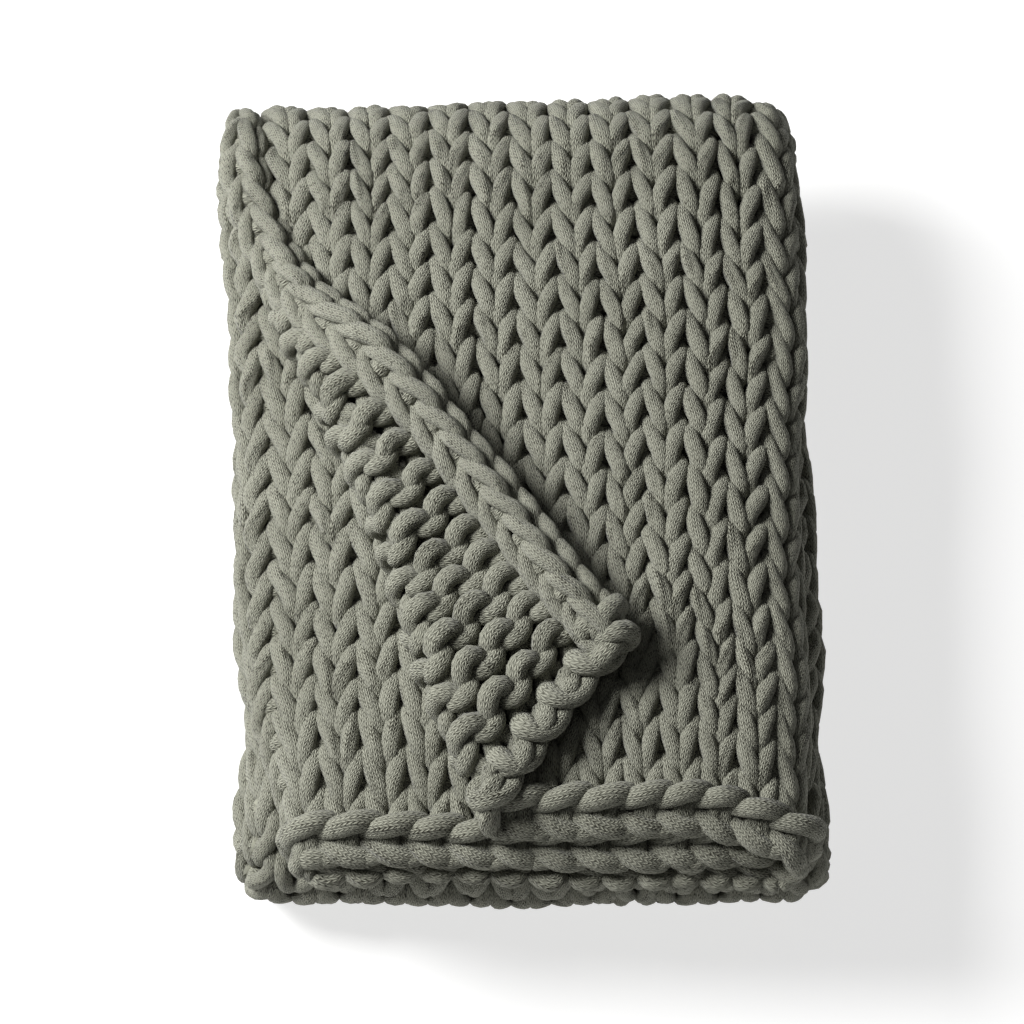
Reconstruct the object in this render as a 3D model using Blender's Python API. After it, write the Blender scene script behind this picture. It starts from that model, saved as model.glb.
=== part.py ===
"""A chunky knit blanket, folded to put away, with one corner of its top ply turned back.

The cloth is one thick sheet. Across the blanket it is folded in three like a letter: the right
third lies on top, the left third under it, and the middle third at the bottom. That pack of
three plies then runs back and forth three times along the blanket, so nine plies lie in the
stack. The front left corner of the top ply is rolled over a slanting crease and lies back on the
ply it belongs to. Low ribs on the knit side mark its columns of stitches.

Units are metres and +Z is up. The front hems face -Y, and the blanket rests on z = 0.
"""

import math

import bpy
import numpy as np

NAME = "blanket"
COLOUR = (0.235, 0.237, 0.187, 1.0)
ROUGHNESS = 0.9

# The cloth
PLY = 0.0225  # step from one ply to the next in the stack
AIR = 0.0025  # air between one ply and the next
HALF = (PLY - AIR) / 2  # half the thickness of the cloth
RIB = 0.0040  # depth of the groove between two columns of stitches
WALES = 41  # columns of stitches across the blanket
EDGE = 0.35  # thickness left at an edge of the cloth, as a share of the whole
ROUNDING = 0.014  # how far in from an edge the cloth is rounded

# The pack of three plies
WIDTH = 0.445  # across the folded blanket
TUCK = 0.004  # how far the hidden free edge of the left third stops short of the right fold
PACK = 3 * PLY
BEND = (PACK + AIR) / 2  # radius of the pack's middle where it turns back

# The stack, along the blanket
BACK = 0.2455  # y where the pack starts to turn down at the back
FRONT = -0.2510  # y where it turns back at the front
END = 0.2600  # y of the far hem, at the back of the bottom layer
HEM_RIGHT = -0.3040  # y of the front hem of each third
HEM_MIDDLE = -0.3300
HEM_LEFT = -0.3210
CORNER_DRAWN = 0.0230  # how far the stitches draw in the front corner of the right third
CORNER_REACH = 0.1800  # how far along its hem that runs out
HEM_RISE = 0.0050  # how far the top hem stands up
HEM_REACH = 0.0500  # how far back that rise runs out

# The corner that is turned back
CREASE_TOP = 0.2455  # y where the crease leaves the free edge
CREASE_FOOT = -0.0220  # x where it would reach the front hem
BOW = 0.0120  # how far it bows to the right on its way
BOW_SKEW = 1.3  # over 1, the bow is widest nearer the back
ROLL = 0.0132  # radius of the cloth's middle at the crease
LAID = 0.0126  # half the height of the laid corner over its own ply
SETTLE = 0.060  # how far from the crease the corner has come down
CURL = 0.0090  # how far its free edge and hem curl up
CURL_REACH = 0.0450  # how wide that curl is

# How the stack lies
HEIGHT = 3 * PACK + 2 * AIR
SLOPE = 0.10  # share of the height lost at the outer edges
SLOPE_REACH = 0.12  # how far in from an edge the slope runs
SPREAD = 0.030  # how much wider the bottom layer lies than the top one, as a share
TAPER = 0.110  # how much narrower the stack is for each metre towards the front, as a share
LEAN = 0.040  # shift to the right for each metre towards the front
WAVE = 0.0025  # how far the folds wander in and out
# Each wave of the side folds: turns for each metre along and up, its share, and its start.
SIDE_WAVES = ((21.0, 31.0, 1.0, 0.0), (47.0, -52.0, 0.6, 1.3))
END_WAVE = (17.0, 40.0)  # turns of the front and back folds for each metre across and up

# The cells of the surface
HEM_STEPS = (0.0, 0.006, ROUNDING, 0.032)  # stations close to a hem, from its edge
LAYER_STEP = 0.0285  # between stations in the top layer
FOLD_CELLS = 8  # round each turn of the pack
HIDDEN_CELLS = 3  # along each hidden layer
KNIT, PURL = 1, -1  # the two faces of the cloth


def smooth(x, low, high):
    """0 below low, 1 above high, and an even ease between them."""
    t = np.clip((x - low) / (high - low), 0, 1)
    return t * t * (3 - 2 * t)


def section_rows():
    """The stretches of the letter fold: name, length, and radius, or 0 for a flat one."""
    right_turn = WIDTH / 2 - PLY - HALF
    left_turn = WIDTH / 2 - PLY / 2 - HALF
    return (
        ("right third", WIDTH / 2 + right_turn, 0),
        ("right fold", math.pi * PLY, PLY),
        ("middle third", right_turn + left_turn, 0),
        ("left fold", math.pi * PLY / 2, PLY / 2),
        ("left third", right_turn + left_turn - TUCK, 0),
    )


ROWS = section_rows()
STARTS = np.cumsum([0] + [length for _, length, _ in ROWS])
CLOTH_WIDTH = STARTS[-1]
WALE = CLOTH_WIDTH / WALES


def section(u):
    """Where the cloth's middle lies at u from the right third's free edge.

    Returns x, the height in the pack, and the two parts of the normal of the knit side.
    """
    x, n = np.zeros_like(u), np.zeros_like(u)
    turn = np.zeros_like(u)
    at_x, at_n, heading = -WIDTH / 2, 2.5 * PLY, 0.0
    for (_, length, radius), start in zip(ROWS, STARTS, strict=False):
        here = u >= start - 1e-9
        s = u[here] - start
        if radius:
            angle = heading - s / radius
            x[here] = at_x + radius * (math.sin(heading) - np.sin(angle))
            n[here] = at_n + radius * (np.cos(angle) - math.cos(heading))
            at_n -= 2 * radius * math.cos(heading)
            heading -= math.pi
        else:
            angle = np.full_like(s, heading)
            x[here] = at_x + s * math.cos(heading)
            n[here] = at_n
            at_x += length * math.cos(heading)
        turn[here] = angle
    return x, n, -np.sin(turn), np.cos(turn)


def hem_line(u):
    """y of the front hem at u: each third has its own, and they run over in the folds."""
    right = smooth(u, STARTS[1] - WALE, STARTS[2])
    left = smooth(u, STARTS[3] - WALE, STARTS[4])
    corner = CORNER_DRAWN * (1 - smooth(u, 0, CORNER_REACH))
    return HEM_RIGHT + corner + (HEM_MIDDLE - HEM_RIGHT) * right + (HEM_LEFT - HEM_MIDDLE) * left


def lay(u, station, n):
    """y and z at height n in the pack, and how the pack's normal points in y and z there.

    The station runs 0 to 1 along the top layer, to 2 round the back, to 3 along the middle
    layer, to 4 round the front, and to 5 along the bottom layer.
    """
    leg = np.clip(np.floor(station), 0, 4)
    part = station - leg
    turn = math.pi * part
    q = n - PACK / 2
    bottom = PACK / 2 - AIR / 2
    y_hem = hem_line(u)
    back, front = BEND + q, BEND - q
    y = np.select(
        [leg == 0, leg == 1, leg == 2, leg == 3],
        [
            y_hem + (BACK - y_hem) * part,
            BACK + back * np.sin(turn),
            BACK + (FRONT - BACK) * part,
            FRONT - front * np.sin(turn),
        ],
        FRONT + (END - FRONT) * part,
    )
    z = np.select(
        [leg == 0, leg == 1, leg == 2, leg == 3],
        [
            bottom + 4 * BEND + q,
            bottom + 3 * BEND + back * np.cos(turn),
            bottom + 2 * BEND - q,
            bottom + BEND + front * np.cos(turn),
        ],
        bottom + q,
    )
    outward = np.select([leg == 1, leg == 3], [np.sin(turn), np.sin(turn)], 0.0)
    upward = np.select(
        [leg == 0, leg == 1, leg == 2, leg == 3], [1.0, np.cos(turn), -1.0, -np.cos(turn)], 1.0
    )
    return y, z, outward, upward


def bow(y):
    """How far the crease bows to the right at y."""
    part = np.clip((y - HEM_RIGHT) / (CREASE_TOP - HEM_RIGHT), 0, 1)
    return BOW * np.sin(math.pi * part**BOW_SKEW) ** 2


def past_crease(x, y):
    """How far x and y lie past the crease, to its left, and the way across it."""
    run_x, run_y = CREASE_FOOT + WIDTH / 2, HEM_RIGHT - CREASE_TOP
    across = np.array([run_y, -run_x]) / math.hypot(run_x, run_y)
    return (x - bow(y) + WIDTH / 2) * across[0] + (y - CREASE_TOP) * across[1], across


def turn_back(x, y, z, off):
    """Rolls the top ply over the crease: middle x, y and z, and off towards the knit side."""
    d, across = past_crease(x, y)
    angle = np.clip(d / ROLL, 0, math.pi)
    past = np.maximum(d - math.pi * ROLL, 0)
    reach = np.where(d > 0, ROLL * np.sin(angle) - past, d)
    rise = ROLL * (1 - np.cos(angle)) - 2 * (ROLL - LAID) * smooth(past, 0, SETTLE)
    shift = reach - d - off * np.sin(angle)
    y_new = y + shift * across[1]
    return x - bow(y) + bow(y_new) + shift * across[0], y_new, z + rise + off * np.cos(angle)


def settle(x, y, z):
    """Slopes the stack's edges, spreads its lower layers, leans it and lets its folds wander."""
    half_x, middle = WIDTH / 2, (BACK + FRONT) / 2
    half_y = (BACK - FRONT) / 2 + BEND + PACK / 2
    edge_x = smooth(np.abs(x), half_x - SLOPE_REACH, half_x)
    edge_y = smooth(np.abs(y - middle), half_y - SLOPE_REACH, half_y)
    z_new = z * (1 - SLOPE * np.maximum(edge_x, edge_y) - SLOPE / 3 * np.minimum(edge_x, edge_y))
    wander = sum(
        share * np.sin(along * y + up * z + start) for along, up, share, start in SIDE_WAVES
    )
    wider = (1 + SPREAD * (1 - z / HEIGHT)) * (1 + TAPER * y)
    x_new = x * wider + WAVE * wander * x / half_x - LEAN * y
    y_new = y + WAVE * np.sin(END_WAVE[0] * x + END_WAVE[1] * z) * (y - middle) / half_y
    return x_new, y_new, z_new


def thickness(u, station, face):
    """How far each face lies from the cloth's middle, with its ribs, hems, beads and curls."""
    from_hem = np.where(station < 1, station * (BACK - hem_line(u)), 1.0)
    from_hem = np.where(station > 4, (5 - station) * (END - FRONT), from_hem)
    from_side = np.minimum(u, CLOTH_WIDTH - u)
    inward = np.minimum(from_hem, from_side) / ROUNDING
    full = EDGE + (1 - EDGE) * np.sqrt(1 - (1 - np.clip(inward, 0, 1)) ** 2)
    off = HALF * full
    if face == KNIT:
        resting = smooth(station, 3.75, 4.0) * (u > STARTS[2]) * (u < STARTS[3])
        near_hem = 1 - smooth(np.minimum(from_hem, from_side), 0.0, 2 * ROUNDING)
        groove = RIB * (1 + np.cos(2 * math.pi * u / WALE)) / 2
        off = off - groove * (1 - resting) * (1 - near_hem)
        shown = (station < 1) * (1 - smooth(u, STARTS[1], STARTS[2]))
        rise = HEM_RISE * (1 - smooth(from_hem, HEM_REACH / 3, HEM_REACH))
        off = off + rise * shown * full * (1 - turned(u, station))
    else:
        from_edge = np.minimum(from_hem, u)
        curl = 1 - smooth(from_edge, CURL_REACH / 2, CURL_REACH)
        off = off + CURL * curl * full * turned(u, station)
    return off


def turned(u, station):
    """1 where the cloth lies on the turned-back corner, easing to 0 at its crease."""
    x, n, _, _ = section(u)
    d, _ = past_crease(x, lay(u, station, n)[0])
    return smooth(d, 0.5 * math.pi * ROLL, 1.2 * math.pi * ROLL) * (u < STARTS[1]) * (station < 1)


def place(u, station, off):
    """The point at off from the cloth's middle, towards its knit side."""
    x, n, side, up = section(u)
    top_ply = (u < STARTS[1]) & (station < 1)
    held = np.where(top_ply, 0, off)
    y, z, outward, upward = lay(u, station, n)
    rolled = turn_back(x, y, z, off)
    x_lay = x + held * side
    y_lay = y + held * up * outward
    z_lay = z + held * up * upward
    x, y, z = (np.where(top_ply, a, b) for a, b in zip(rolled, (x_lay, y_lay, z_lay), strict=True))
    return np.stack(settle(x, y, z), axis=-1)


def stations():
    """The stations along the folded pack, from the front hems to the far one."""
    top = BACK - HEM_RIGHT
    near = [step / top for step in HEM_STEPS]
    cells = round((top - HEM_STEPS[-1]) / LAYER_STEP)
    bottom = END - FRONT
    far = [5 - step / bottom for step in reversed(HEM_STEPS[:-1])]
    runs = (
        np.array(near[:-1]),
        np.linspace(near[-1], 1, cells, endpoint=False),
        np.linspace(1, 2, FOLD_CELLS, endpoint=False),
        np.linspace(2, 3, HIDDEN_CELLS, endpoint=False),
        np.linspace(3, 4, FOLD_CELLS, endpoint=False),
        np.linspace(4, far[0], HIDDEN_CELLS, endpoint=False),
        np.array(far),
    )
    return np.concatenate(runs)


# Each stretch of a face: where it ends, in columns of stitches, and its cells in a column.
KNIT_CELLS = (
    ("right third, its fold and the middle third", STARTS[3] / WALE, 2),
    ("left fold", STARTS[4] / WALE, 5),
    ("left third, in the open", STARTS[4] / WALE + 7, 2),
    ("left third, hidden", WALES, 0.5),
)
PURL_CELLS = (
    ("right third, where it is turned back", 8, 2),
    ("right third, hidden", STARTS[1] / WALE, 0.6),
    ("right fold", STARTS[2] / WALE, 2.2),
    ("middle third", STARTS[3] / WALE, 0.4),
    ("left fold", STARTS[4] / WALE, 3),
    ("left third", WALES, 0.4),
)


def columns(table):
    """Places across the cloth, in metres, with two more close to each free edge."""
    marks, at = [], 0.0
    for _, stop, per_wale in table:
        cells = max(1, round((stop - at) * per_wale))
        if per_wale == 2:
            marks += list(np.arange(math.ceil(at * 2) / 2, stop - 1e-6, 0.5))
        else:
            marks += list(np.linspace(at, stop, cells, endpoint=False))
        at = stop
    inner = sorted({round(mark, 6) for mark in marks})
    near = [0.0, 0.2 * ROUNDING / WALE, 0.5 * ROUNDING / WALE]
    far = [WALES - mark for mark in reversed(near)]
    kept = [mark for mark in inner if near[-1] + 0.05 < mark < far[0] - 0.05]
    return np.array(near + kept + far) * WALE


def face_points(u, v, face):
    """One face of the cloth: a grid of points over the columns u and the stations v."""
    grid_u, grid_v = (a.ravel() for a in np.meshgrid(u, v, indexing="ij"))
    return place(grid_u, grid_v, face * thickness(grid_u, grid_v, face))


def grid_faces(count_u, count_v, first, flip):
    """Two triangles to a cell, cut along the crease's own slant."""
    i, j = (a.ravel() for a in np.meshgrid(range(count_u - 1), range(count_v - 1), indexing="ij"))
    a = first + i * count_v + j
    b, c, d = a + count_v, a + count_v + 1, a + 1
    halves = np.concatenate([np.stack([a, b, d], 1), np.stack([b, c, d], 1)])
    return halves[:, ::-1] if flip else halves


def join_edges(one, other, place_one, place_other, flip):
    """Triangles between two rows of points that run the same way in unlike steps."""
    faces, i, j = [], 0, 0
    while i < len(one) - 1 or j < len(other) - 1:
        step_one = j == len(other) - 1 or (
            i < len(one) - 1 and place_one[i + 1] <= place_other[j + 1]
        )
        if step_one:
            faces.append((one[i], one[i + 1], other[j]))
            i += 1
        else:
            faces.append((one[i], other[j + 1], other[j]))
            j += 1
    return [face[::-1] for face in faces] if flip else faces


def build_blanket():
    """Lofts both faces of the cloth and closes them along the hems and the free edges."""
    v = stations()
    knit_u, purl_u = columns(KNIT_CELLS), columns(PURL_CELLS)
    points = np.concatenate([face_points(knit_u, v, KNIT), face_points(purl_u, v, PURL)])
    points[:, :2] -= (points[:, :2].min(axis=0) + points[:, :2].max(axis=0)) / 2
    first_purl = len(knit_u) * len(v)
    knit = np.arange(first_purl).reshape(len(knit_u), len(v))
    purl = first_purl + np.arange(len(purl_u) * len(v)).reshape(len(purl_u), len(v))
    faces = grid_faces(len(knit_u), len(v), 0, False).tolist()
    faces += grid_faces(len(purl_u), len(v), first_purl, True).tolist()
    faces += join_edges(knit[:, 0], purl[:, 0], knit_u, purl_u, True)
    faces += join_edges(knit[:, -1], purl[:, -1], knit_u, purl_u, False)
    faces += join_edges(knit[0], purl[0], v, v, False)
    faces += join_edges(knit[-1], purl[-1], v, v, True)
    mesh = bpy.data.meshes.new(NAME)
    mesh.from_pydata(points.tolist(), [], faces)
    mesh.update()
    return bpy.data.objects.new(NAME, mesh)


def yarn_material():
    """Dull cotton yarn in a warm grey green."""
    material = bpy.data.materials.new("sage cotton yarn")
    material.use_nodes = True
    shader = material.node_tree.nodes["Principled BSDF"]
    shader.inputs["Base Color"].default_value = COLOUR
    shader.inputs["Roughness"].default_value = ROUGHNESS
    shader.inputs["Metallic"].default_value = 0.0
    return material


def main():
    """Clears the scene and builds the blanket."""
    for old in list(bpy.data.objects):
        bpy.data.objects.remove(old, do_unlink=True)
    home = bpy.data.collections.new("chunky_knit_blanket")
    bpy.context.scene.collection.children.link(home)
    blanket = build_blanket()
    blanket.data.materials.append(yarn_material())
    home.objects.link(blanket)


main()
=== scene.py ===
# %% [markdown]
# # A chunky knit blanket, folded, with one corner turned back
#
# The blanket is one piece of plain stocking stitch in thick cotton tube yarn. This lesson knits
# it: every row is a yarn of its own, looped through the row below it, and the cloth then follows
# the folds of the solid that carries its weight and its collision.

import math

import bpy
import numpy as np
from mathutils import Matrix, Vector


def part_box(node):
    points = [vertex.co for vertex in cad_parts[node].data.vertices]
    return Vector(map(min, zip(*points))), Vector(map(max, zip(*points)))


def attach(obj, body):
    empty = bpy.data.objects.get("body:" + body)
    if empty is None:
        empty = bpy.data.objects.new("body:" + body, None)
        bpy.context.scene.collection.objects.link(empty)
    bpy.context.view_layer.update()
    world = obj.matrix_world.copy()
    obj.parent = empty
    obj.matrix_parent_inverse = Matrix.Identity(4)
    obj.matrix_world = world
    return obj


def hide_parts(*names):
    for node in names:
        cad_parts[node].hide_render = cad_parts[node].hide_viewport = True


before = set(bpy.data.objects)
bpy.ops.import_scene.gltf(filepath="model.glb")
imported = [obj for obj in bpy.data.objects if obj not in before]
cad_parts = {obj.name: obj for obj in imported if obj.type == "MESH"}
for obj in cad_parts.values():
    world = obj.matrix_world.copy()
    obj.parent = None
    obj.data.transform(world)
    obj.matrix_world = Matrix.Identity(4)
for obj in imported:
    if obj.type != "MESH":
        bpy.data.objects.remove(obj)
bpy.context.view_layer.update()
corner_low, corner_high = (np.array(corner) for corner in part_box("blanket"))
print("solid, metres:", np.round(corner_high - corner_low, 4))

# %% [markdown]
# ## The sizes of the fold
#
# The cloth is folded in three across, like a letter, and that pack of three plies goes back and
# forth three times along the blanket. Nine plies lie in the stack. The same few sizes give the
# solid its form, so the yarn lies where the solid is.

# %% Sizes of the folded cloth, in metres
PLY = 0.0225  # step from one ply to the next
AIR = 0.0025  # the gap between two plies
HALF = (PLY - AIR) / 2  # half the thickness of a ply
PACK = 3 * PLY  # three plies, one for each third of the letter fold
BEND = (PACK + AIR) / 2  # radius of the pack's middle where it turns
WIDTH = 0.445  # of the letter fold
TUCK = 0.004  # how much shorter the left third is, which lies inside the fold
BACK, FRONT, END = 0.2455, -0.2510, 0.2600  # y where the pack turns, and where it ends behind
HEM_RIGHT, HEM_MIDDLE, HEM_LEFT = -0.3040, -0.3300, -0.3210  # y of the front hem, by thirds
CORNER_DRAWN, CORNER_REACH = 0.0230, 0.1800  # how far the corner's hem is drawn back, over what
CREASE_TOP, CREASE_FOOT = 0.2455, -0.0220  # the crease: its y at the left side, its x at the hem
BOW, BOW_SKEW = 0.0120, 1.3  # how far the crease bows, and how its bow leans to the top
ROLL, LAID, SETTLE = 0.0132, 0.0126, 0.060  # the crease's radius, half the rise once laid, and how soon
HEIGHT = 3 * PACK + 2 * AIR  # of the stack without the corner
SLOPE, SLOPE_REACH = 0.10, 0.12  # how much lower the stack's edges lie, and how far in from them
SPREAD, TAPER, LEAN = 0.030, 0.110, 0.040  # wider below, wider behind, and off to the left behind
WAVE = 0.0025  # how far the stack's sides wander
SIDE_WAVES = ((21.0, 31.0, 1.0, 0.0), (47.0, -52.0, 0.6, 1.3))  # along, up, share and start
END_WAVE = (17.0, 40.0)  # across and up
STACK_MIDDLE = np.array([-0.00684, -0.00854, 0.0])  # of the stack before it is centred

DRAWN_LEFT, DRAWN_RIGHT = 0.028, 0.016  # how far the top layer's folds are drawn in at the hem
SNUG = 0.986  # the loops stand out of the cloth's face, so the stack is this much narrower
SAG = 0.010  # how far the lower front left corner bulges out
CORNERS = 0.004, 0.009  # how far the back left corner reaches left, and the back right one back

WALES = 41  # columns of stitches across
# Rows of stitches along each stretch: top layer, back, middle layer, front, bottom layer.
ROWS_ALONG = np.array([0, 18, 24, 40, 46, 63])
ROWS = int(ROWS_ALONG[-1])

right_turn = WIDTH / 2 - PLY - HALF
left_turn = WIDTH / 2 - PLY / 2 - HALF
STRETCHES = (
    (WIDTH / 2 + right_turn, 0.0),
    (math.pi * PLY, PLY),
    (right_turn + left_turn, 0.0),
    (math.pi * PLY / 2, PLY / 2),
    (right_turn + left_turn - TUCK, 0.0),
)
STARTS = np.cumsum([0.0] + [length for length, _ in STRETCHES])
WALE = STARTS[-1] / WALES
print(f"a column of stitches is {WALE * 1000:.1f} mm wide; the cloth is {STARTS[-1]:.3f} m wide")
print("columns at each fold:", np.round(STARTS / WALE, 2))


# %% [markdown]
# ## From flat cloth to folded cloth
#
# A point of the cloth has three numbers: how far across it is, which row it is on, and how far
# it stands off the cloth's middle towards the knit side. The next functions carry such points
# into the stack: round the letter fold, along the back and forth of the pack, and over the
# crease of the corner. Last, the whole stack is sloped, leaned and waved a little, as a stack
# of soft cloth lies.


# %% Where a point of the flat cloth comes to lie
def smooth(x, low, high):
    """0 below low, 1 above high, and an even ease between them."""
    t = np.clip((x - low) / (high - low), 0, 1)
    return t * t * (3 - 2 * t)


def section(u):
    """The letter fold: straight runs and half circles; gives x, height, and the knit normal."""
    x, n, turn = (np.zeros_like(u) for _ in range(3))
    at_x, at_n, heading = -WIDTH / 2, 2.5 * PLY, 0.0
    for k, (length, radius) in enumerate(STRETCHES):
        here = u >= STARTS[k] if k else np.full(u.shape, True)
        s = u[here] - STARTS[k]
        if radius:
            angle = heading - s / radius
            x[here] = at_x + radius * (math.sin(heading) - np.sin(angle))
            n[here] = at_n + radius * (np.cos(angle) - math.cos(heading))
            at_n -= 2 * radius * math.cos(heading)
            heading -= math.pi
        else:
            angle = np.full_like(s, heading)
            x[here] = at_x + s * math.cos(heading)
            n[here] = at_n
            at_x += length * math.cos(heading)
        turn[here] = angle
    return x, n, -np.sin(turn), np.cos(turn)


def hem_line(u):
    """y of the front hem: one value for each third, eased over in the folds and the corner."""
    right = smooth(u, STARTS[1] - 2.5 * WALE, STARTS[2] - WALE / 2)
    left = smooth(u, STARTS[3] - WALE, STARTS[4])
    corner = CORNER_DRAWN * (1 - smooth(u, 0, CORNER_REACH))
    return HEM_RIGHT + corner + (HEM_MIDDLE - HEM_RIGHT) * right + (HEM_LEFT - HEM_MIDDLE) * left


def lay(u, station, n):
    """Back and forth: straight runs and half circles about the pack's two turns."""
    leg = np.clip(np.floor(station), 0, 4)
    part = station - leg
    turn = math.pi * part
    q = n - PACK / 2
    bottom = PACK / 2 - AIR / 2
    y_hem = hem_line(u)
    cases = [leg == 0, leg == 1, leg == 2, leg == 3]
    ys = [
        y_hem + (BACK - y_hem) * part,
        BACK + (BEND + q) * np.sin(turn),
        BACK + (FRONT - BACK) * part,
        FRONT - (BEND - q) * np.sin(turn),
    ]
    zs = [
        bottom + 4 * BEND + q,
        bottom + 3 * BEND + (BEND + q) * np.cos(turn),
        bottom + 2 * BEND - q,
        bottom + BEND + (BEND - q) * np.cos(turn),
    ]
    y = np.select(cases, ys, FRONT + (END - FRONT) * part)
    z = np.select(cases, zs, bottom + q)
    outward = np.select([leg == 1, leg == 3], [np.sin(turn)] * 2, 0.0)
    upward = np.select(cases, [np.ones_like(u), np.cos(turn), -np.ones_like(u), -np.cos(turn)], 1.0)
    return y, z, outward, upward


def bow(y):
    """How far the crease bows to the right: a squared sine from its foot to its top."""
    part = np.clip((y - HEM_RIGHT) / (CREASE_TOP - HEM_RIGHT), 0, 1)
    return BOW * np.sin(math.pi * part**BOW_SKEW) ** 2


def past_crease(x, y):
    """How far x and y lie past the crease, to its left, and the way across it."""
    run_x, run_y = CREASE_FOOT + WIDTH / 2, HEM_RIGHT - CREASE_TOP
    across = np.array([run_y, -run_x]) / math.hypot(run_x, run_y)
    return (x - bow(y) + WIDTH / 2) * across[0] + (y - CREASE_TOP) * across[1], across


def turn_back(x, y, z, off):
    """Rolls the top ply over the crease on a half circle, then lays it back on itself."""
    d, across = past_crease(x, y)
    angle = np.clip(d / ROLL, 0, math.pi)
    past = np.maximum(d - math.pi * ROLL, 0)
    reach = np.where(d > 0, ROLL * np.sin(angle) - past, d)
    rise = ROLL * (1 - np.cos(angle)) - 2 * (ROLL - LAID) * smooth(past, 0, SETTLE)
    shift = reach - d - off * np.sin(angle)
    y_new = y + shift * across[1]
    return x - bow(y) + bow(y_new) + shift * across[0], y_new, z + rise + off * np.cos(angle)


def settle(x, y, z):
    """Slopes the stack's edges, spreads its lower layers, tapers, leans and waves it."""
    half_x, middle = WIDTH / 2, (BACK + FRONT) / 2
    half_y = (BACK - FRONT) / 2 + BEND + PACK / 2
    edge_x = smooth(np.abs(x), half_x - SLOPE_REACH, half_x)
    edge_y = smooth(np.abs(y - middle), half_y - SLOPE_REACH, half_y)
    z_new = z * (1 - SLOPE * np.maximum(edge_x, edge_y) - SLOPE / 3 * np.minimum(edge_x, edge_y))
    wander = sum(
        share * np.sin(along * y + up * z + start) for along, up, share, start in SIDE_WAVES
    )
    wider = (1 + SPREAD * (1 - z / HEIGHT)) * (1 + TAPER * y)
    x_new = SNUG * x * wider + WAVE * wander * x / half_x - LEAN * y
    # The front left corner sags low down, and the two back corners reach out a little.
    x_new = x_new - SAG * smooth(-x, 0.1, 0.24) * smooth(-y, 0.12, 0.3) * smooth(-z, -0.15, -0.05)
    back = smooth(y, 0.14, 0.29)
    x_new = x_new - CORNERS[0] * smooth(-x, 0.15, 0.23) * back
    y_new = y + WAVE * np.sin(END_WAVE[0] * x + END_WAVE[1] * z) * (y - middle) / half_y
    y_new = y_new + CORNERS[1] * smooth(x, 0.02, 0.19) * back
    return x_new, y_new, z_new


def drawn_in(x, row):
    """The top layer narrows towards its front hem at its right side."""
    return x - DRAWN_RIGHT * smooth(x, 0.04, WIDTH / 2) * (1 - smooth(row, 2, 18))


def slid(u, row):
    """Near the hem the left fold lies further in: the cloth slides round it to the lower ply."""
    drawn = DRAWN_LEFT * (1 - smooth(row, -1, 7))
    lower = STARTS[3] - STARTS[2]
    crowded = STARTS[2] + (u - STARTS[2]) * (lower - drawn) / (lower + drawn)
    in_bend = (u >= STARTS[3] + drawn) & (u < STARTS[4] + drawn)
    cases = [u < STARTS[2], u < STARTS[3] + drawn, in_bend]
    return np.select(cases, [u, crowded, u - drawn], u), np.where(in_bend, drawn, 0.0)


def unturned(u, row, off, across):
    """The cloth at u, laid at `across` from its left side, before the stack settles."""
    inner = np.interp(row, ROWS_ALONG, range(6))
    first_rows, last_rows = ROWS_ALONG[1], ROWS - ROWS_ALONG[4]
    beyond = row - np.clip(row, 0, ROWS)
    station = inner + beyond / np.where(row < 0, first_rows, last_rows)
    laid, bend_shift = slid(across, row)
    x, n, side, up = section(laid)
    y, z, outward, upward = lay(laid, station, n)
    rolled = turn_back(x, y, z, off)
    x_plain = x + bend_shift + off * side
    plain = (drawn_in(x_plain, row), y + off * up * outward, z + off * up * upward)
    top_ply = (u < STARTS[1]) & (station < 1)
    rolled = (drawn_in(rolled[0], row), rolled[1], rolled[2])
    return tuple(np.where(top_ply, a, b) for a, b in zip(rolled, plain, strict=True))


# %% [markdown]
# ## The rolled edge
#
# The free edge of stocking stitch always curls towards its purl side. Along the turned-back
# corner it makes a soft roll two columns wide, with a chain of V shapes on top. The roll is a
# spiral about a line: that line follows the edge of the corner, then bends into the left side
# of the stack, where the roll gets thin and dies away round the back fold.

# %% The roll along the free edge
ROLL_WIDE, ROLL_HIGH = 0.0115, 0.0092  # half its width and height, at the middle of the cloth
ROLL_THIN = 0.0078  # both of these at the back left corner
FACE = 0.0120  # from the middle of the cloth to its face
EDGE_START = 0.0132  # where the roll starts, across from the left side
ROLL_RATE = 84.0  # radians for each metre of cloth
ROLL_RISE = 0.0250, -0.0030  # from the top ply up to the roll's foot: at the hem, at the corner
BEND_ROW = 11.5  # where the roll's line starts to bend
EXTRA = 2  # columns that the edge has beyond the solid's own, all of them in the roll


def roll_size(row):
    """Half the roll's width and height: full at the hem, thin at the corner, gone behind."""
    full = 1 - smooth(row, 8, 17)
    left = 1 - 0.9 * smooth(row, 17.0, 22.0)
    wide = (ROLL_THIN + (ROLL_WIDE - ROLL_THIN) * full) * left
    return wide, (ROLL_THIN + (ROLL_HIGH - ROLL_THIN) * full) * left, left


def on_flap(row):
    """Where the foot of the roll lies on the flat part of the turned-back corner."""
    across = roll_size(row)[0] + FACE
    y_hem = hem_line(across)
    y = y_hem + (BACK - y_hem) * row / ROWS_ALONG[1]
    x, y, _ = turn_back(across - WIDTH / 2, y, 0.0, 0.0)
    return np.stack([x, y])


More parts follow.
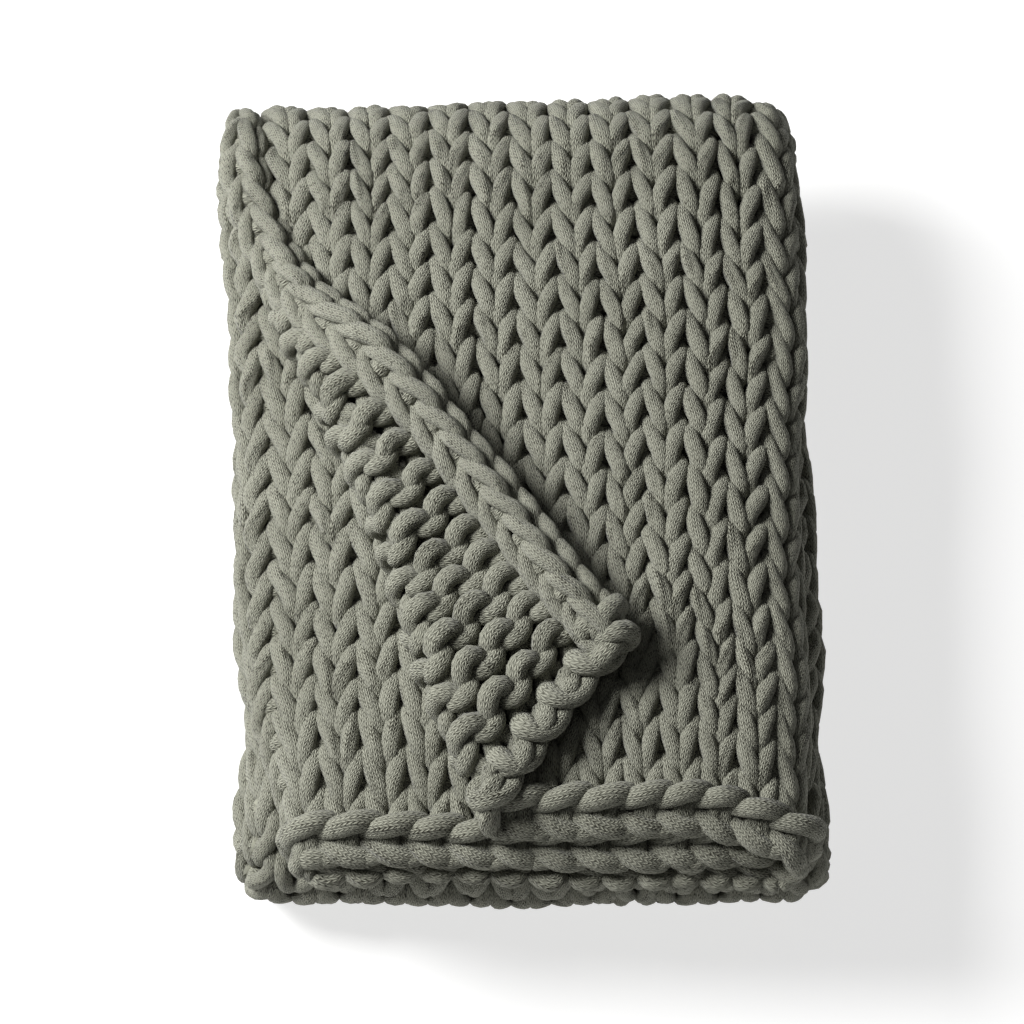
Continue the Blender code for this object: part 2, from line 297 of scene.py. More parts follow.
def roll_line(row):
    """The line of the roll's foot in plan: the flap's edge, then a cubic to the back corner."""
    low = np.minimum(row, BEND_ROW)
    first = on_flap(np.array(BEND_ROW))
    slope = (first - on_flap(np.array(BEND_ROW - 0.1))) * 10 * (ROWS_ALONG[1] - BEND_ROW)
    last = np.array([-WIDTH / 2 + ROLL_THIN + FACE + 0.001, BACK])
    end_slope = np.array([0.0, 0.0305 * (ROWS_ALONG[1] - BEND_ROW)])
    t = np.clip((row - BEND_ROW) / (ROWS_ALONG[1] - BEND_ROW), 0, 1)
    weights = (
        (1 + 2 * t) * (1 - t) ** 2,
        t * (1 - t) ** 2,
        t**2 * (3 - 2 * t),
        t**2 * (t - 1),
    )
    bend = sum(
        w * corner.reshape(2, *[1] * t.ndim)
        for w, corner in zip(weights, (first, slope, last, end_slope), strict=True)
    )
    return np.where(row <= BEND_ROW, on_flap(low), bend)


def rolled_edge(u, row, off):
    """A spiral about the roll's line; the knit side faces out of it."""
    wide, high, left = roll_size(row)
    s = EDGE_START - u
    angle = ROLL_RATE * np.maximum(s, 0)
    # The last part of the turn tucks in, so that the edge ends inside the roll.
    inside = 1 - 0.6 * smooth(angle, 4.3, 6.0)
    out = off * (0.4 + 0.6 * inside) * (0.5 + 0.5 * left)
    reach = 0.9 * np.minimum(s, 0) + (wide * inside + out) * np.sin(angle)
    lift = ROLL_RISE[1] + (ROLL_RISE[0] - ROLL_RISE[1]) * (1 - smooth(row, 8.5, 16.5))
    rise = high - (high * inside + out) * np.cos(angle) + lift
    # The roll runs across the flap's own direction at first, and turns to the stack's side.
    over_x, over_y = past_crease(0.0, 0.0)[1]
    flap = math.atan2(2 * over_x * over_y, 2 * over_x**2 - 1)
    heading = flap * (1 - smooth(row, BEND_ROW, 17.5))
    return reach, rise, heading


def folded(u, row, off):
    """The point at u across, on a row, off from the cloth's middle; all three are arrays."""
    u, row, off = (np.array(a, dtype=float) for a in np.broadcast_arrays(u, row, off))
    wide = roll_size(row)[0]
    drawn = (wide + FACE - EDGE_START) * (1 - smooth(u, EDGE_START, EDGE_START + 6 * WALE))
    points = np.stack(unturned(u, row, off, np.maximum(u + drawn, EDGE_START + drawn)))
    near = (u < EDGE_START + 0.8 * WALE) & (row < 25)
    if near.any():
        u, row, off = u[near], row[near], off[near]
        reach, rise, heading = rolled_edge(u, row, off)
        x, y = roll_line(row)
        x = x + reach * np.cos(heading)
        station = np.interp(row, ROWS_ALONG, range(6))
        top, above = 2.5 * PLY, np.maximum(station, 0.999999)
        y_lay, z_lay, _, _ = lay(np.zeros_like(u), above, top + rise)
        y = np.where(row < ROWS_ALONG[1], y + reach * np.sin(heading), y_lay)
        roll = np.stack([x, y, z_lay])
        share = 1 - smooth(u, EDGE_START, EDGE_START + 0.8 * WALE)
        points[:, near] += share * (roll - points[:, near])
    return np.stack(settle(*points), axis=-1) - STACK_MIDDLE


print("the corner's tip lies at", np.round(folded(EDGE_START, 0.0, 0.0), 3))

# %% [markdown]
# ## The stocking stitch
#
# In stocking stitch each loop comes up from behind through the loop below, so one side of the
# cloth shows columns of V shapes and the other rows of bumps. A flat picture of stitches would
# show only one side. A yarn that really follows the loop shows both, and the holes between the
# columns too, so the path of the yarn is worked out as a curve: sines and cosines of the angle
# that runs once round for each stitch. Hand-knitted loops are never alike, so every leg is
# given a little looseness of its own, blended smoothly into its neighbours.

# %% The path of the yarn
ROW = (BACK - HEM_RIGHT) / ROWS_ALONG[1]  # height of a row, where the cloth lies flat
YARN = 0.0157  # width of the yarn where nothing presses on it
LOOP_HEIGHT = 0.0278  # half the height of a loop, as the knit side shows it
LOOP_ROUND = 0.0206, 0.0012  # the same where the purl side shows, and how pointed its bumps are
LOOP_LEAN = 0.0079  # how far a loop's legs lean
LOOP_DEPTH = 0.0072  # how far the legs stand in front of the cloth's middle, and the heads behind
LOOP_TILT = 0.0028  # how far a loop's foot stands in front of its top, where it laps the loop below
HEM_SPACE = 0.45  # rows that the hem's chain takes up
print(f"a row is {ROW * 1000:.1f} mm high")

chance = np.random.default_rng(41)


def even_noise(shape, reach, down=None):
    """Random numbers about -1 to 1, blurred over reach cells across, and reach or down along."""
    noise = chance.normal(size=shape)
    for axis, size in enumerate(shape):
        steps = np.minimum(np.arange(size), size - np.arange(size))
        weight = np.exp(-0.5 * (steps / (down if down and axis else reach)) ** 2)
        spectrum = np.fft.fft(noise, axis=axis) * np.fft.fft(weight / weight.sum()).reshape(
            [-1 if k == axis else 1 for k in range(len(shape))]
        )
        noise = np.real(np.fft.ifft(spectrum, axis=axis))
    return noise / noise.std() / 1.6


LEGS = (2 * (WALES + EXTRA) + 2, ROWS + 3)  # one cell for each leg of each loop
LOOSE = {
    "height": 0.0016 * even_noise(LEGS, 0.5),
    "lean": 0.0013 * even_noise(LEGS, 0.5),
    "depth": 0.0010 * even_noise(LEGS, 0.6),
    "lift": 0.0013 * even_noise(LEGS, 0.8),
    "across": 0.0010 * even_noise(LEGS, 0.6) + 0.0018 * even_noise(LEGS, 2.5),
    "along": 0.0014 * even_noise(LEGS, 0.6) + 0.0016 * even_noise(LEGS, 2.2),
    "thick": 0.075 * even_noise(LEGS, 0.6),
    "drift": 0.0072 * even_noise(LEGS, 1.1, 5.0),  # whole columns that hang lower or higher
}


def at_leg(name, wale, row):
    """The looseness of a kind at a place along a row: an even blend between two legs."""
    at = np.clip(2 * (wale + EXTRA) - 0.5, 0, LEGS[0] - 1.001)
    low = np.floor(at).astype(int)
    part = at - low
    part = part * part * (3 - 2 * part)
    table, line = LOOSE[name], np.clip(row, 0, ROWS + 1).astype(int)
    return table[low, line] + (table[low + 1, line] - table[low, line]) * part


def purl_shown(wale, row):
    """1 where the corner is turned back and shows its purl side, easing to 0 elsewhere."""
    y_hem = hem_line(wale * WALE)
    y = y_hem + (BACK - y_hem) * row / ROWS_ALONG[1]
    past = past_crease(wale * WALE - WIDTH / 2, y)[0]
    return smooth(past, 0, 0.03) * smooth(wale, 0.2, 1.2)


def in_fold(u):
    """1 in the two folds that run along the blanket, where the cloth is stretched round."""
    ease = WALE / 2
    first = smooth(u, STARTS[1] - ease, STARTS[1] + ease)
    second = smooth(u, STARTS[3] - ease, STARTS[3] + ease)
    first = first * (1 - smooth(u, STARTS[2] - ease, STARTS[2] + ease))
    return first + second * (1 - smooth(u, STARTS[4] - ease, STARTS[4] + ease))


def squeezed(wale, row):
    """1 where the innermost ply goes round the front fold and its rows are pressed together."""
    bend = smooth(row, 39, 41) * (1 - smooth(row, 45, 47))
    return bend * (1 - smooth(wale, 12.5, 14.5))


def loop_path(wale, row):
    """The yarn of a row: across, along and off, each the sum of an even run and a wave."""
    t = 2 * math.pi * wale
    rolled = (1 - smooth(wale, 0, 0.8)) * (1 - smooth(row, 15, 22))
    lean = LOOP_LEAN * (1 - 0.3 * rolled) + at_leg("lean", wale, row)
    purl = purl_shown(wale, row)
    height = LOOP_HEIGHT + (LOOP_ROUND[0] - LOOP_HEIGHT) * purl + at_leg("height", wale, row)
    depth = (LOOP_DEPTH + at_leg("depth", wale, row)) * (1 - 0.7 * squeezed(wale, row))
    depth = depth * (1 - 0.4 * in_fold(slid(wale * WALE, row)[0]))
    u = wale * WALE + lean * np.sin(2 * t) + at_leg("across", wale, row)
    v = -height * np.cos(t) - LOOP_ROUND[1] * purl * np.cos(3 * t) + at_leg("along", wale, row)
    inner = smooth(wale, 0.5, 2) * smooth(row, 0, 5) * (1 - smooth(row, ROWS - 6, ROWS - 1))
    v = v + at_leg("drift", wale, row) * inner
    off = depth * (0.16 * np.cos(6 * t) - np.cos(2 * t)) + at_leg("lift", wale, row)
    off = off + LOOP_TILT * np.cos(t)
    # The rows make room for the chains at both hems.
    hems = HEM_SPACE * ((1 - smooth(row, 0, 6)) - smooth(row, ROWS - 6, ROWS - 1))
    return u, row + 0.5 + hems + v / ROW, off


def loop_width(wale, row):
    """Half the yarn's width: drawn thin along the legs, thickest at the heads behind."""
    t = 2 * math.pi * wale
    shape = 0.93 + 0.075 * np.cos(2 * t) + 0.03 * np.cos(4 * t)
    thin = 1 - 0.4 * (1 - roll_size(row)[2]) * (wale < 0.5) - 0.45 * squeezed(wale, row)
    return YARN / 2 * shape * (1 + at_leg("thick", wale, row)) * thin


# %% [markdown]
# ## A tube along the yarn's path
#
# Each row is swept with a soft oval section. The oval is flatter towards the cloth's face,
# because neighbouring loops press on it. Its two texture coordinates are metres along the yarn
# and turns around it, so that the yarn's own knitted sheath can follow it through every bend.
# Where the stack rests on something, the yarn is pressed flat.


# %% Tubes from paths
REST = 0.0003  # the lowest that the yarn may be
ROUND_REACH = 0.060  # columns over which a yarn's end is rounded, at the edge of the cloth
ROUNDING = ROUND_REACH * np.array([0.08, 0.25, 0.5])  # where it has extra rings for that


def tube(path, up, radius, flat, sides, closed=False):
    """An oval swept along each path: the centre plus cosine and sine parts of two axes."""
    ahead = np.gradient(path, axis=-2)
    if closed:
        ahead = (np.roll(path, -1, axis=-2) - np.roll(path, 1, axis=-2)) / 2
    length = np.linalg.norm(ahead, axis=-1, keepdims=True)
    ahead = ahead / np.maximum(length, 1e-9)
    up = up - (up * ahead).sum(-1, keepdims=True) * ahead
    up = up / np.maximum(np.linalg.norm(up, axis=-1, keepdims=True), 1e-9)
    side = np.cross(ahead, up)
    angle = 2 * math.pi * np.arange(sides) / sides
    across, above = np.cos(angle)[:, None], flat * np.sin(angle)[:, None]
    ring = across * side[..., None, :] + above * up[..., None, :]
    rings = path[..., None, :] + radius[..., None, None] * ring
    rings[..., 2] = np.maximum(rings[..., 2], REST)
    return rings, length[..., 0]


def tube_mesh(name, rings, steps, start, closed=False):
    """One mesh of many tubes: quads between the rings; open tubes get a face over each end."""
    tubes, count, sides, _ = rings.shape
    points = rings.reshape(-1, 3)
    spans = count if closed else count - 1
    cells = np.meshgrid(range(tubes), range(spans), range(sides), indexing="ij")
    t, i, k = (a.ravel() for a in cells)
    first = (t * count + i) * sides
    second = (t * count + (i + 1) % count) * sides
    after = (k + 1) % sides
    quads = np.stack([first + k, first + after, second + after, second + k], 1)
    ends = np.arange(tubes)[:, None] * count * sides + np.arange(sides)
    caps = np.concatenate([ends[:, ::-1], ends + (count - 1) * sides])
    if closed:
        caps = caps[:0]
    mesh = bpy.data.meshes.new(name)
    mesh.vertices.add(len(points))
    mesh.vertices.foreach_set("co", points.astype(np.float32).ravel())
    loops = np.concatenate([quads.ravel(), caps.ravel()])
    starts = np.concatenate(
        [4 * np.arange(len(quads)), 4 * len(quads) + sides * np.arange(len(caps))]
    )
    mesh.loops.add(len(loops))
    mesh.loops.foreach_set("vertex_index", loops.astype(np.int32))
    mesh.polygons.add(len(starts))
    mesh.polygons.foreach_set("loop_start", starts.astype(np.int32))
    mesh.update(calc_edges=True)
    between = (steps + np.roll(steps, -1, axis=1)) / 2
    along = start[:, None] + np.cumsum(np.pad(between, ((0, 0), (1, 0))), axis=1)
    turn = np.stack([k, k + 1, k + 1, k], 1) / sides
    far = np.stack([along[t, i], along[t, i], along[t, i + 1], along[t, i + 1]], 1)
    uv = np.concatenate([np.stack([far, turn], -1).reshape(-1, 2), np.zeros((caps.size, 2))])
    mesh.uv_layers.new(name="yarn").data.foreach_set("uv", uv.astype(np.float32).ravel())
    mesh.polygons.foreach_set("use_smooth", np.full(len(mesh.polygons), True))
    mesh.validate()
    return mesh


def yarn_piece(name, path, up, radius, flat, sides, start, closed=False):
    """An object of yarns, in place, with its triangles counted."""
    rings, steps = tube(path, up, radius, flat, sides, closed)
    obj = bpy.data.objects.new(name, tube_mesh(name, rings, steps, start, closed))
    bpy.context.scene.collection.objects.link(obj)
    count = len(obj.data.loops) - 2 * len(obj.data.polygons)
    print(f"{name}: {len(path)} yarns, {count} triangles")
    return obj


def knit_piece(name, wales, rows, per_stitch, sides):
    """The rows of one part of the cloth, each a tube; it ends rounded at the cloth's own edge."""
    wale = np.linspace(wales[0], wales[1], (wales[1] - wales[0]) * per_stitch + 1)
    if wales[0] <= 0:
        wale = np.sort(np.append(wale, wales[0] + ROUNDING))
    if wales[1] == WALES:
        wale = np.sort(np.append(wale, wales[1] - ROUNDING))
    from_end = np.ones_like(wale)
    if wales[0] <= 0:
        from_end = np.minimum(from_end, (wale - wales[0]) / ROUND_REACH)
    if wales[1] == WALES:
        from_end = np.minimum(from_end, (wales[1] - wale) / ROUND_REACH)
    rounded = np.sqrt(np.maximum(1 - (1 - from_end) ** 2, 0.02))
    row = np.arange(rows[0], rows[1], dtype=float)[:, None]
    wale, row = np.broadcast_arrays(wale[None, :], row)
    u, v, off = loop_path(wale, row)
    path = folded(u, v, off)
    up = folded(u, v, off + 0.002) - folded(u, v, off - 0.002)
    start = 0.731 * (rows[0] + np.arange(len(row))) % 1
    return yarn_piece(name, path, up, loop_width(wale, row) * rounded, 0.86, sides, start)


# %% [markdown]
# ## Knit the blanket
#
# The cloth is knitted in parts, so that the parts in view get a fine yarn and the plies inside
# the stack a plain one. Columns and rows meet at the parts' edges, so the cloth stays whole.

# %% The parts of the cloth
FINE, PLAIN, HIDDEN = (24, 12), (16, 10), (10, 5)
# name, first and last column, first and last row, points in a stitch and sides of the yarn
PARTS = (
    ("top_ply_front", (-EXTRA, 15), (0, 9), FINE),
    ("top_ply_back", (-EXTRA, 15), (9, 24), FINE),
    ("middle_ply_hems", (15, 41), (0, 2), FINE),
    ("left_third_shown", (28, 37), (2, 18), FINE),
    ("left_third_tucked", (37, 41), (2, 63), HIDDEN),
    ("left_third_inside", (30, 37), (18, 63), HIDDEN),
    ("left_fold_behind", (28, 30), (18, 63), FINE),
    ("middle_third_inside", (17, 26), (2, 39), HIDDEN),
    ("right_fold_sides", (15, 17), (2, 63), FINE),
    ("left_fold_sides", (26, 28), (2, 63), FINE),
    ("front_fold", (17, 26), (39, 47), FINE),
    ("base", (17, 26), (47, 63), PLAIN),
    ("free_edge_behind", (0, 3), (24, 63), FINE),
    ("right_third_inside", (3, 13), (24, 63), HIDDEN),
    ("right_fold_under", (13, 15), (24, 63), PLAIN),
)
pieces = [knit_piece(name, wales, rows, *fineness) for name, wales, rows, fineness in PARTS]

# %% [markdown]
# ## The chain along the hems
#
# Casting on and casting off both leave a chain: one V for each column, each coming out of the
# one before it. It is the same loop as in the cloth, turned to run along the hem, wider, and
# tipped outwards, so that it makes the thick lip of the hem.

# %% The chains
CHAIN_WIDE, CHAIN_LEAN = 0.0104, 0.0040  # how far its legs lie apart, and how far they lean
CHAIN_HEIGHT = 0.0262
CHAIN_TIP = math.radians(38)  # how far it is tipped outwards
CHAIN_IN = 0.46  # rows from the hem to the chain's middle
CHAIN_OUT = 0.0030  # how far it stands off the cloth's middle


def chain_piece(name, links, row, outward, per_link, sides):
    """A chain of closed loops: along, across and off it are waves of one angle."""
    t = np.linspace(0, 2 * math.pi, per_link, endpoint=False)[None, :]
    link = np.arange(*links)[:, None] + np.zeros_like(t)
    jog = {key: table[2 * link.astype(int) % LEGS[0], int(row)] for key, table in LOOSE.items()}
    along = -(CHAIN_HEIGHT + jog["height"]) * np.cos(t) + 0.6 * jog["along"]
    across = -(CHAIN_WIDE + 0.5 * jog["across"]) * np.sin(t)
    across += (CHAIN_LEAN + 0.5 * jog["lean"]) * np.sin(2 * t)
    off = -LOOP_DEPTH * np.cos(2 * t) + 0.7 * jog["lift"]
    u = (link + 0.5) * WALE + along
    line = np.full_like(u, row)
    flat_part = smooth(u, -1.2 * WALE, 0.8 * WALE)
    bent, _ = slid(u, line)
    tucked = 1 - smooth(bent, STARTS[3], STARTS[4] + WALE)
    tucked = tucked * smooth(bent, STARTS[1] + WALE, STARTS[2])
    below = smooth(u, STARTS[2] - WALE, STARTS[2]) * (1 - smooth(u, STARTS[3], STARTS[3] + WALE))
    line = line + 0.25 * outward * below
    out = CHAIN_OUT * (flat_part - tucked) - 0.003 * (1 - flat_part + tucked)
    middle = folded(u, line, out)
    face = folded(u, line, out + 0.001) - middle
    away = folded(u, line - 0.02 * outward, out) - middle
    face = face / np.linalg.norm(face, axis=-1, keepdims=True)
    away = away / np.maximum(np.linalg.norm(away, axis=-1, keepdims=True), 1e-9)
    tip = (CHAIN_TIP * flat_part)[..., None]
    wide = np.cos(tip) * away - np.sin(tip) * face
    up = np.cos(tip) * face + np.sin(tip) * away
    path = middle + across[..., None] * wide + off[..., None] * up
    # A link is thick at its ends, and thin where it starts behind the link before it.
    shape = 0.99 + 0.05 * np.cos(2 * t) + 0.04 * np.cos(4 * t)
    shape = shape * (1 - 0.45 * ((1 + np.cos(t)) / 2) ** 4)
    radius = 1.12 * YARN / 2 * shape * (1 + jog["thick"])
    start = 0.317 * np.arange(len(u)) % 1
    return yarn_piece(name, path, up, radius, 0.86, sides, start, closed=True)


pieces.append(chain_piece("front_hem_chain", (-EXTRA, WALES), CHAIN_IN, 1, 32, 12))
pieces.append(chain_piece("back_hem_chain", (0, WALES), ROWS - CHAIN_IN, -1, 24, 10))
total = sum(len(piece.data.loops) - 2 * len(piece.data.polygons) for piece in pieces)
print("triangles in all:", total)

# %% [markdown]
# ## The yarn's own knit
#
# The yarn is a knitted cotton tube, with a fine sheath of tiny loops round a soft filling. Its
# loops are too small to build, so they are drawn as a height: columns of small V shapes round
# the yarn, read from the two texture coordinates. A tube like this also creases along its
# length where it is squeezed, and the creases wind round it. Both are node groups, so that any
# yarn can use them.


# %% Shader helpers
def add_node(tree, kind, values=(), **settings):
    """A node with its settings; each value is a socket to link or a number to set."""
    node = tree.nodes.new(kind)
    for key, value in settings.items():
        setattr(node, key, value)
    for key, value in dict(values).items():
        if isinstance(value, bpy.types.NodeSocket):
            tree.links.new(value, node.inputs[key])
        else:
            node.inputs[key].default_value = value
    return node


def calc(tree, operation, *values):
    """One step of arithmetic; gives its result socket."""
    return add_node(tree, "ShaderNodeMath", enumerate(values), operation=operation).outputs[0]


def new_group(name, inputs, outputs):
    """An empty node group with its named sockets, and its two end nodes."""
    tree = bpy.data.node_groups.new(name, "ShaderNodeTree")
    for label, kind in inputs:
        tree.interface.new_socket(label, in_out="INPUT", socket_type=kind)
    for label, kind in outputs:
        tree.interface.new_socket(label, in_out="OUTPUT", socket_type=kind)
    return tree, tree.nodes.new("NodeGroupInput"), tree.nodes.new("NodeGroupOutput")


# %% The sheath: tiny V shapes in columns round the yarn
def build_sheath():
    """Height = (1 - f^2)(1 - c^3): f is -1 to 1 along a leg of a V, c 0 to 1 across it."""
    number, vector = "NodeSocketFloat", "NodeSocketVector"
    inputs = (("Yarn", vector), ("Wander", number), ("Columns", number), ("Course", number))
    tree, given, made = new_group("yarn sheath", inputs, (("Height", number),))
    parts = add_node(tree, "ShaderNodeSeparateXYZ", {0: given.outputs["Yarn"]})
    turn = calc(tree, "MULTIPLY_ADD", parts.outputs["X"], 3.0, parts.outputs["Y"])
    turn = calc(tree, "MULTIPLY_ADD", given.outputs["Wander"], 0.35, turn)
    column = calc(tree, "FRACT", calc(tree, "MULTIPLY", turn, given.outputs["Columns"]))
    from_middle = calc(tree, "ABSOLUTE", calc(tree, "MULTIPLY_ADD", column, 2.0, -1.0))
    course = calc(tree, "DIVIDE", parts.outputs["X"], given.outputs["Course"])
    course = calc(tree, "FRACT", calc(tree, "MULTIPLY_ADD", from_middle, 0.9, course))
    swing = calc(tree, "MULTIPLY_ADD", course, 2.0, -1.0)
    loop = calc(tree, "SUBTRACT", 1.0, calc(tree, "MULTIPLY", swing, swing))
    aside = calc(tree, "ABSOLUTE", calc(tree, "MULTIPLY_ADD", from_middle, 2.0, -1.0))
    ridge = calc(tree, "SUBTRACT", 1.0, calc(tree, "POWER", aside, 3.0))
    height = calc(tree, "MULTIPLY", loop, ridge)
    tree.links.new(height, made.inputs["Height"])
    return tree


# %% The creases: soft furrows that wind along the yarn
def build_creases():
    """Depth falls off evenly to both sides of a winding line; a noise fades it in and out."""
    number, vector = "NodeSocketFloat", "NodeSocketVector"
    inputs = (("Yarn", vector), ("Place", vector), ("Wander", number), ("Turns", number))
    tree, given, made = new_group("yarn creases", inputs, (("Depth", number),))
    parts = add_node(tree, "ShaderNodeSeparateXYZ", {0: given.outputs["Yarn"]})
    around = calc(tree, "MULTIPLY", parts.outputs["Y"], 2.0)
    line = calc(tree, "MULTIPLY_ADD", parts.outputs["X"], given.outputs["Turns"], around)
    line = calc(tree, "FRACT", calc(tree, "ADD", line, given.outputs["Wander"]))
    aside = calc(tree, "ABSOLUTE", calc(tree, "MULTIPLY_ADD", line, 2.0, -1.0))
    furrow = add_node(
        tree,
        "ShaderNodeMapRange",
        {"Value": aside, "From Min": 0.0, "From Max": 0.5, "To Min": 1.0, "To Max": 0.0},
        interpolation_type="SMOOTHSTEP",
    )
    patches = add_node(tree, "ShaderNodeTexNoise", {"Vector": given.outputs["Place"], "Scale": 22.0})
    shown = add_node(
        tree,
        "ShaderNodeMapRange",
        {"Value": patches.outputs[0], "From Min": 0.42, "From Max": 0.6},
        interpolation_type="SMOOTHSTEP",
    )
    depth = calc(tree, "MULTIPLY", furrow.outputs[0], shown.outputs[0])
    tree.links.new(depth, made.inputs["Depth"])
    return tree


sheath, creases = build_sheath(), build_creases()
print("groups:", sheath.name, "and", creases.name)

# %% [markdown]
# ## The colour of the cotton
#
# The cotton is a greyed sage, not quite even from one length of yarn to the next. Painted shade
# makes it dark and brown down between its tiny loops and in its creases. Cotton has no gloss, only
# a soft sheen at glancing angles from its loose fibres.

# %% The sage cotton
SAGE = (0.235, 0.237, 0.187, 1)
SAGE_PALE = (0.330, 0.332, 0.272, 1)
# Painted shade: the dark brown put down between the sheath's loops and in the creases.
PAINTED_PIT_SHADE = (0.024, 0.022, 0.013, 1)


def sage_cotton():
    """Sage on the loops, painted shade in the pits and creases; the height gives the bump."""
    material = bpy.data.materials.new("sage cotton yarn")
    material.use_nodes = True
    tree = material.node_tree
    shader = tree.nodes["Principled BSDF"]
    yarn = add_node(tree, "ShaderNodeUVMap", uv_map="yarn").outputs[0]
    place = add_node(tree, "ShaderNodeTexCoord").outputs["Object"]
    wander = add_node(tree, "ShaderNodeTexNoise", {"Vector": place, "Scale": 9.0}).outputs[0]
    knit = add_node(tree, "ShaderNodeGroup", node_tree=sheath)
    for label, value in (("Columns", 13.0), ("Course", 0.0030)):
        knit.inputs[label].default_value = value
    tree.links.new(yarn, knit.inputs["Yarn"])
    tree.links.new(wander, knit.inputs["Wander"])
    fold = add_node(tree, "ShaderNodeGroup", node_tree=creases)
    fold.inputs["Turns"].default_value = 13.0
    tree.links.new(yarn, fold.inputs["Yarn"])
    tree.links.new(place, fold.inputs["Place"])
    tree.links.new(wander, fold.inputs["Wander"])
    loops, depth = knit.outputs["Height"], fold.outputs["Depth"]
    patches = add_node(tree, "ShaderNodeTexNoise", {"Vector": place, "Scale": 14.0, "Detail": 4.0})
    tint = add_node(
        tree,
        "ShaderNodeMix",
        {0: patches.outputs[0], 6: SAGE, 7: SAGE_PALE},
        data_type="RGBA",
    ).outputs[2]
    fibres = add_node(tree, "ShaderNodeTexNoise", {"Vector": place, "Scale": 900.0}).outputs[0]
    uneven = add_node(tree, "ShaderNodeTexNoise", {"Vector": place, "Scale": 330.0}).outputs[0]
    # Painted shade: a spot keeps the sage high on a loop and goes dark low between loops and in a
    # crease, where shade falls; the fibres and dye give a real uneven tone on top of that.
    tone_and_shade = calc(tree, "MULTIPLY_ADD", fibres, 0.3, calc(tree, "MULTIPLY", loops, 0.8))
    tone_and_shade = calc(tree, "MULTIPLY_ADD", uneven, 1.1, calc(tree, "SUBTRACT", tone_and_shade, 0.55))
    tone_and_shade = calc(tree, "SUBTRACT", tone_and_shade, calc(tree, "MULTIPLY", depth, 0.2))
    tone_and_shade_share = add_node(
        tree, "ShaderNodeMapRange", {"Value": tone_and_shade, "From Min": 0.0, "From Max": 0.6}
    ).outputs[0]
    colour = add_node(
        tree, "ShaderNodeMix", {0: tone_and_shade_share, 6: PAINTED_PIT_SHADE, 7: tint}, data_type="RGBA"
    ).outputs[2]
    tree.links.new(colour, shader.inputs["Base Color"])
    height = calc(tree, "MULTIPLY_ADD", depth, -3.6, loops)
    height = calc(tree, "MULTIPLY_ADD", fibres, 0.3, height)
    bump = add_node(
        tree, "ShaderNodeBump", {"Height": height, "Strength": 0.8, "Distance": 0.0009}
    )
    tree.links.new(bump.outputs[0], shader.inputs["Normal"])
    shader.inputs["Roughness"].default_value = 0.92
    shader.inputs["Specular IOR Level"].default_value = 0.15
    shader.inputs["Sheen Weight"].default_value = 0.12
    shader.inputs["Sheen Roughness"].default_value = 0.5
    return material


cotton = sage_cotton()
for piece in pieces:
    piece.data.materials.append(cotton)
    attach(piece, "root")
    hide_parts("blanket")
print("every yarn is in", cotton.name)

# %% [markdown]
# ## Floor, camera and light
#
# The blanket lies on a plain pale floor that glows a little, so that the shadow beside the stack
# stays soft. The camera looks down steeply, with a long lens. One large soft lamp stands at the
# left, like a window: its low light rakes over the stitches, so that each yarn is round and the
# gaps between them are dark. A faint lamp overhead and a faint sky fill the gaps.

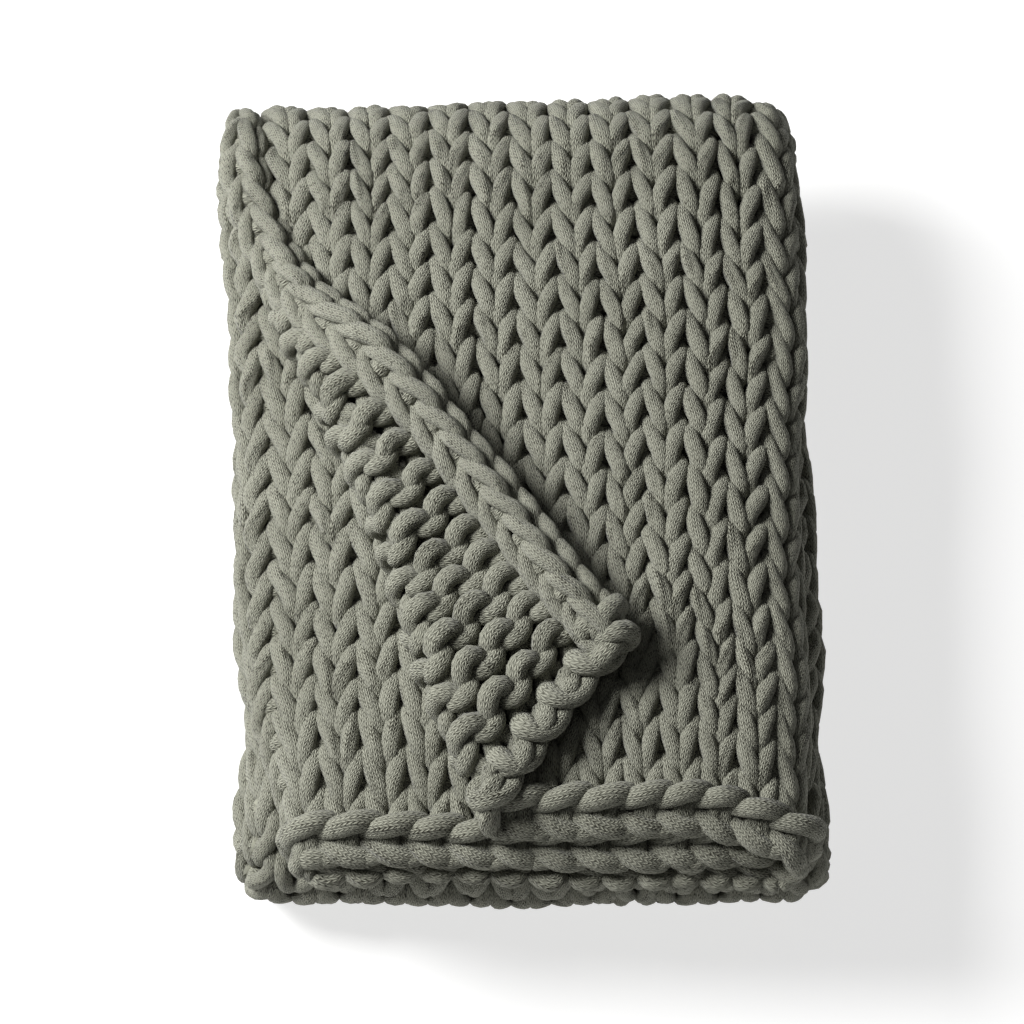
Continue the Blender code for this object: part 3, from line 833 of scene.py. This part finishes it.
# %% Floor
FLOOR = 30.0  # metres from its middle to its edges
floor_mesh = bpy.data.meshes.new("floor")
corners = [(-FLOOR, -FLOOR, 0), (FLOOR, -FLOOR, 0), (FLOOR, FLOOR, 0), (-FLOOR, FLOOR, 0)]
floor_mesh.from_pydata(corners, [], [(0, 1, 2, 3)])
floor = bpy.data.objects.new("floor", floor_mesh)
bpy.context.scene.collection.objects.link(floor)
floor_paint = bpy.data.materials.new("pale floor")
floor_paint.use_nodes = True
floor_shader = floor_paint.node_tree.nodes["Principled BSDF"]
floor_shader.inputs["Base Color"].default_value = (0.45, 0.45, 0.445, 1)
floor_shader.inputs["Roughness"].default_value = 0.9
floor_shader.inputs["Emission Color"].default_value = (1, 1, 1, 1)
floor_shader.inputs["Emission Strength"].default_value = 0.70
floor_mesh.materials.append(floor_paint)
print(f"the floor is {2 * FLOOR:.0f} m wide")


# %% Camera
FROM_ABOVE = math.radians(24.5)  # between straight down and the camera's look
DISTANCE = 2.9
PICTURE = 1024  # pixels across and down
FRAME_WIDTH = 0.00076 * PICTURE  # metres that it shows at the blanket
MIDDLE_ACROSS, MIDDLE_DOWN = 523, 493  # the pixel where the aim shows
aim = Vector((0.0, -0.015, 0.12)) - Vector(STACK_MIDDLE)
back = Vector((0, -math.sin(FROM_ABOVE), math.cos(FROM_ABOVE)))
camera_data = bpy.data.cameras.new("camera")
camera_data.sensor_width = 36
camera_data.lens = 36 * DISTANCE / FRAME_WIDTH
camera_data.shift_x = (PICTURE / 2 - MIDDLE_ACROSS) / PICTURE
camera_data.shift_y = -(PICTURE / 2 - MIDDLE_DOWN) / PICTURE
camera = bpy.data.objects.new("camera", camera_data)
camera.location = aim + DISTANCE * back
camera.rotation_euler = (FROM_ABOVE, 0, 0)
bpy.context.scene.collection.objects.link(camera)
bpy.context.scene.camera = camera
print(f"lens: {camera_data.lens:.1f} mm")


# %% Lights
def soft_light(name, place, look_at, size, watts):
    """A square lamp at a place, turned to a point."""
    lamp = bpy.data.lights.new(name, "AREA")
    lamp.size, lamp.energy = size, watts
    holder = bpy.data.objects.new(name, lamp)
    holder.location = place
    holder.rotation_euler = (Vector(look_at) - Vector(place)).to_track_quat("-Z", "Y").to_euler()
    bpy.context.scene.collection.objects.link(holder)


soft_light("window", (-1.80, 0.42, 1.95), (0, 0, 0.1), 1.15, 133)
soft_light("ceiling", (0.0, 0.0, 3.2), (0, 0, 0), 3.0, 5)
world = bpy.data.worlds.new("studio")
world.use_nodes = True
world.node_tree.nodes["Background"].inputs["Color"].default_value = (1.0, 1.0, 1.0, 1)
world.node_tree.nodes["Background"].inputs["Strength"].default_value = 0.03
bpy.context.scene.view_settings.view_transform = "Standard"
bpy.context.scene.world = world
print("the window lamp gives", bpy.data.lights["window"].energy, "W")
